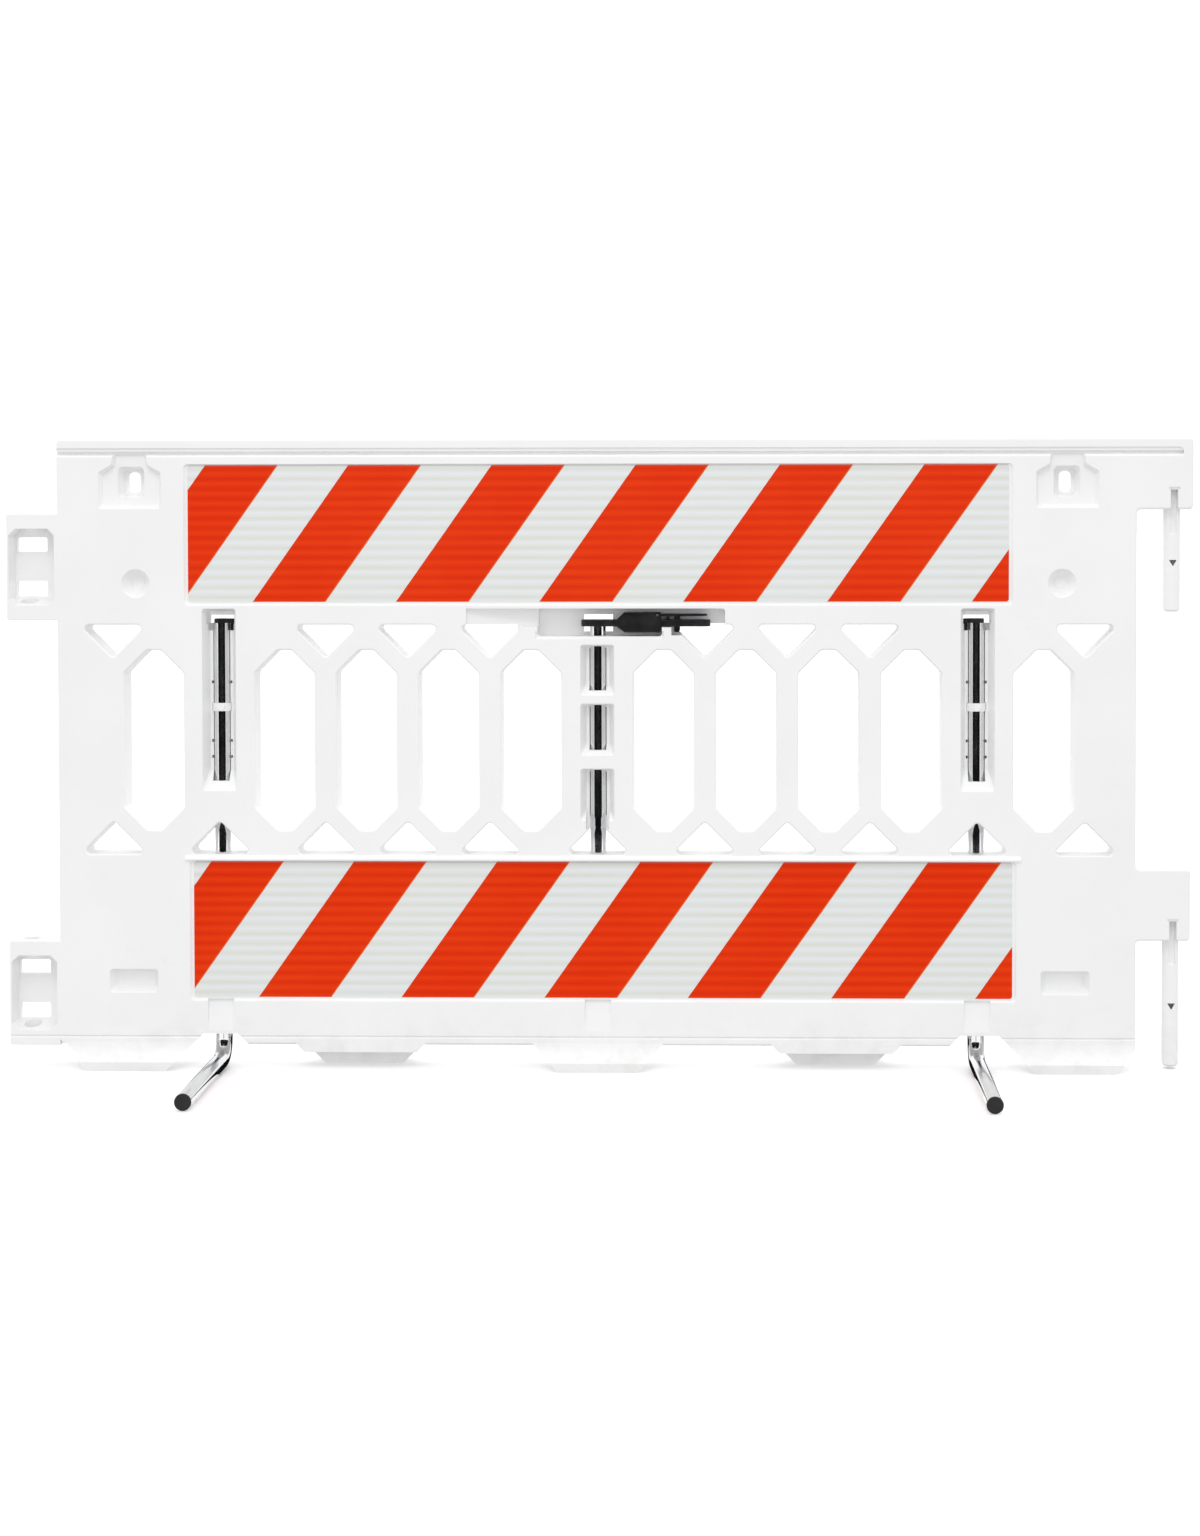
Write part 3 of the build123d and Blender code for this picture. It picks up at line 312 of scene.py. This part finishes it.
def plain_steel(name, tone, rough_low, rough_high):
    """Zinc-plated or spring steel: crystalline mottling, tool marks and a few stains."""
    sh = Shader(name)
    flake = sh.cells(900.0)
    stain = sh.noise(120.0, 4.0, 0.6)
    colour = sh.mix(sh.ramp(flake, 0.1, 0.7), tone, scaled(tone, 0.84))
    colour = sh.mix(sh.math("MULTIPLY", sh.ramp(stain, 0.60, 0.78), 0.35), colour, (0.34, 0.27, 0.20))
    rough = sh.ramp(stain, 0.3, 0.7, rough_low, rough_high)
    normal = sh.bump(sh.noise(1500.0, 2.0, 0.5, sh.stretch((1.0, 1.0, 0.1))), 0.00003, 0.4)
    sh.set(Base_Color=colour, Roughness=rough, Normal=normal)
    sh.surface.inputs["Metallic"].default_value = 1.0
    return sh.material


def dress(nodes, material):
    for name in nodes:
        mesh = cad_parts[name].data
        mesh.materials.clear()
        mesh.materials.append(material)


def dress_sheet(node, way):
    low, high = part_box(node)
    left = low.x if way > 0 else high.x
    dress([node], sheeting("sheeting_" + node, left, low.z, way))


white = moulded_plastic("white_polyethylene", (0.935, 0.935, 0.936))
dress(["panel", "socket_upper", "socket_lower", "drop_pin_upper", "drop_pin_lower"], white)
dress(["left_tube_clip", "right_tube_clip"], moulded_plastic("white_nylon", (0.93, 0.928, 0.92), 0.4))
dress_sheet("front_sheet_upper", 1.0)
dress_sheet("front_sheet_lower", 1.0)
dress_sheet("back_sheet_upper", -1.0)
dress_sheet("back_sheet_lower", -1.0)
dress(["left_leg_tube", "right_leg_tube", "centre_leg_tube"], plated_tube())
dress(["left_foot_plug", "right_foot_plug", "centre_foot_plug"],
      dark_moulding("black_rubber", (0.012, 0.012, 0.012), 0.55, 0.75, 700.0))
dress(["left_stop_plate", "right_stop_plate", "lever_arm", "lever_grip", "lever_latch"],
      dark_moulding("black_nylon", (0.010, 0.010, 0.011), 0.32, 0.5, 480.0))
dress(["socket_screws", "drop_pin_screws", "grip_screws", "latch_pin",
       "left_cross_pin", "right_cross_pin", "centre_cross_pin"],
      plain_steel("zinc_screw", (0.66, 0.67, 0.68), 0.22, 0.42))
spring_steel = plain_steel("spring_steel", (0.52, 0.52, 0.53), 0.2, 0.35)
dress(["latch_spring"], spring_steel)


# ---- latch spring ----
def make_spring():
    """The coil under the latch's blade, drawn at one fixed length; the real coil shortens as the blade is
    pressed.
    """
    low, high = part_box("latch_spring")
    middle = (low + high) / 2
    radius = (high.x - low.x) / 2 - SPRING_WIRE
    foot, rise = low.z + SPRING_WIRE, high.z - low.z - 2 * SPRING_WIRE
    steps = SPRING_TURNS * RINGS_PER_TURN
    around = [math.tau * k / RING_SIDES for k in range(RING_SIDES)]
    upward = Vector((0.0, 0.0, 1.0))
    bm = bmesh.new()
    rings = []
    for i in range(steps + 1):
        share = i / steps
        angle = math.tau * SPRING_TURNS * share
        out = Vector((math.cos(angle), math.sin(angle), 0.0))
        at = Vector((middle.x, middle.y, foot + rise * share)) + out * radius
        ring = [at + SPRING_WIRE * (math.cos(turn) * out + math.sin(turn) * upward) for turn in around]
        rings.append([bm.verts.new(point) for point in ring])
    for one, two in zip(rings, rings[1:]):
        for k in range(RING_SIDES):
            bm.faces.new((one[k], two[k], two[k - 1], one[k - 1]))
    bm.faces.new(rings[0])
    bm.faces.new(rings[-1][::-1])
    bmesh.ops.recalc_face_normals(bm, faces=bm.faces)
    for face in bm.faces:
        face.smooth = len(face.verts) == 4
    mesh = bpy.data.meshes.new("latch_coil")
    bm.to_mesh(mesh)
    bm.free()
    coil = bpy.data.objects.new("latch_coil", mesh)
    bpy.context.scene.collection.objects.link(coil)
    mesh.materials.append(spring_steel)
    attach(coil, "centre_leg")
    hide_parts("latch_spring")
    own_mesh(coil)


make_spring()


# ---- camera ----
def make_camera():
    data = bpy.data.cameras.new("camera")
    camera = bpy.data.objects.new("camera", data)
    bpy.context.scene.collection.objects.link(camera)
    data.sensor_fit = "AUTO"
    data.sensor_width = 36.0
    long_side = max(IMAGE_W, IMAGE_H)
    data.lens = FOCAL_PX * data.sensor_width / long_side
    data.shift_x = (IMAGE_W / 2 - PRINCIPAL[0]) / long_side
    data.shift_y = (PRINCIPAL[1] - IMAGE_H / 2) / long_side
    data.clip_start = 0.05
    data.clip_end = 200.0
    camera.location = CAMERA_AT
    turn = Matrix.Rotation(YAW_LEFT, 4, "Z") @ Matrix.Rotation(math.pi / 2 - PITCH_DOWN, 4, "X")
    turn = turn @ Matrix.Rotation(-ROLL, 4, "Z")
    camera.rotation_euler = turn.to_euler()
    bpy.context.scene.camera = camera


# ---- stage ----
def flat_card(name, x, y, z):
    """One four-sided face from (low, high) pairs; one of y and z is a single number."""
    mesh = bpy.data.meshes.new(name)
    if isinstance(z, tuple):
        corners = ((x[0], y, z[0]), (x[1], y, z[0]), (x[1], y, z[1]), (x[0], y, z[1]))
    else:
        corners = ((x[0], y[0], z), (x[1], y[0], z), (x[1], y[1], z), (x[0], y[1], z))
    bm = bmesh.new()
    bm.faces.new([bm.verts.new(corner) for corner in corners])
    bm.to_mesh(mesh)
    bm.free()
    card = bpy.data.objects.new(name, mesh)
    bpy.context.scene.collection.objects.link(card)
    return card


def make_floor():
    reach = (-FLOOR_HALF, FLOOR_HALF)
    floor = flat_card("floor", reach, reach, -FLOOR_DROP)
    sh = Shader("pale_floor")
    tone = sh.mix(sh.ramp(sh.noise(1.2, 3.0), 0.3, 0.7), (0.93, 0.93, 0.93), (0.95, 0.95, 0.95))
    sh.set(Base_Color=tone, Roughness=0.9)
    sh.surface.inputs["Specular IOR Level"].default_value = 0.0
    sh.surface.inputs["Emission Color"].default_value = (1.0, 1.0, 1.0, 1.0)
    sh.surface.inputs["Emission Strength"].default_value = FLOOR_GLOW
    floor.data.materials.append(sh.material)
    floor.visible_diffuse = False


def area_light(name, at, aim, size, power):
    data = bpy.data.lights.new(name, "AREA")
    data.shape = "RECTANGLE"
    data.size, data.size_y = size
    data.energy = power
    light = bpy.data.objects.new(name, data)
    bpy.context.scene.collection.objects.link(light)
    light.location = at
    light.rotation_euler = (Vector(aim) - Vector(at)).to_track_quat("-Z", "Y").to_euler()


def make_world():
    """White all round: brightest overhead, dimmer below, a little brighter behind than in front."""
    world = bpy.data.worlds.new("studio")
    world.use_nodes = True
    tree = world.node_tree
    background = tree.nodes["Background"]
    background.inputs["Color"].default_value = (1.0, 1.0, 1.0, 1.0)
    place = tree.nodes.new("ShaderNodeTexCoord")
    axes = tree.nodes.new("ShaderNodeSeparateXYZ")
    tree.links.new(place.outputs["Generated"], axes.inputs[0])
    levels = []
    for axis, numbers in (("Y", (-0.6, 0.6, WORLD_FRONT, WORLD_BACK)), ("Z", (-0.30, 0.0, WORLD_LOW, 1.0)),
                          ("Z", (0.1, 0.8, 1.0, WORLD_TOP))):
        blend = tree.nodes.new("ShaderNodeMapRange")
        blend.interpolation_type = "SMOOTHSTEP"
        for value, socket in zip(numbers, blend.inputs[1:5]):
            socket.default_value = value
        tree.links.new(axes.outputs[axis], blend.inputs[0])
        levels.append(blend.outputs[0])
    for level in levels[1:]:
        both = tree.nodes.new("ShaderNodeMath")
        both.operation = "MULTIPLY"
        tree.links.new(levels[0], both.inputs[0])
        tree.links.new(level, both.inputs[1])
        levels[0] = both.outputs[0]
    tree.links.new(levels[0], background.inputs["Strength"])
    bpy.context.scene.world = world


def black_card(card, material):
    """A card seen only in reflections, where it draws the dark lines down a bright tube."""
    card.data.materials.append(material)
    card.visible_camera = False
    card.visible_diffuse = False
    card.visible_shadow = False
    card.visible_transmission = False


def make_cards():
    """One card stands in front of the object, the other lies on the floor under the panel."""
    sh = Shader("black_card")
    sh.set(Base_Color=sh.mix(sh.noise(8.0), (0.004, 0.004, 0.004), (0.006, 0.006, 0.006)), Roughness=1.0)
    sh.surface.inputs["Specular IOR Level"].default_value = 0.0
    black_card(flat_card("card_front", *CARD_FRONT), sh.material)
    black_card(flat_card("card_floor", *CARD_FLOOR), sh.material)


make_camera()
make_floor()
make_world()
make_cards()
area_light("key", **KEY_LIGHT)
area_light("fill", **FILL_LIGHT)
bpy.context.scene.view_settings.view_transform = "Standard"
bpy.context.scene.view_settings.look = "None"

bpy.context.view_layer.update()
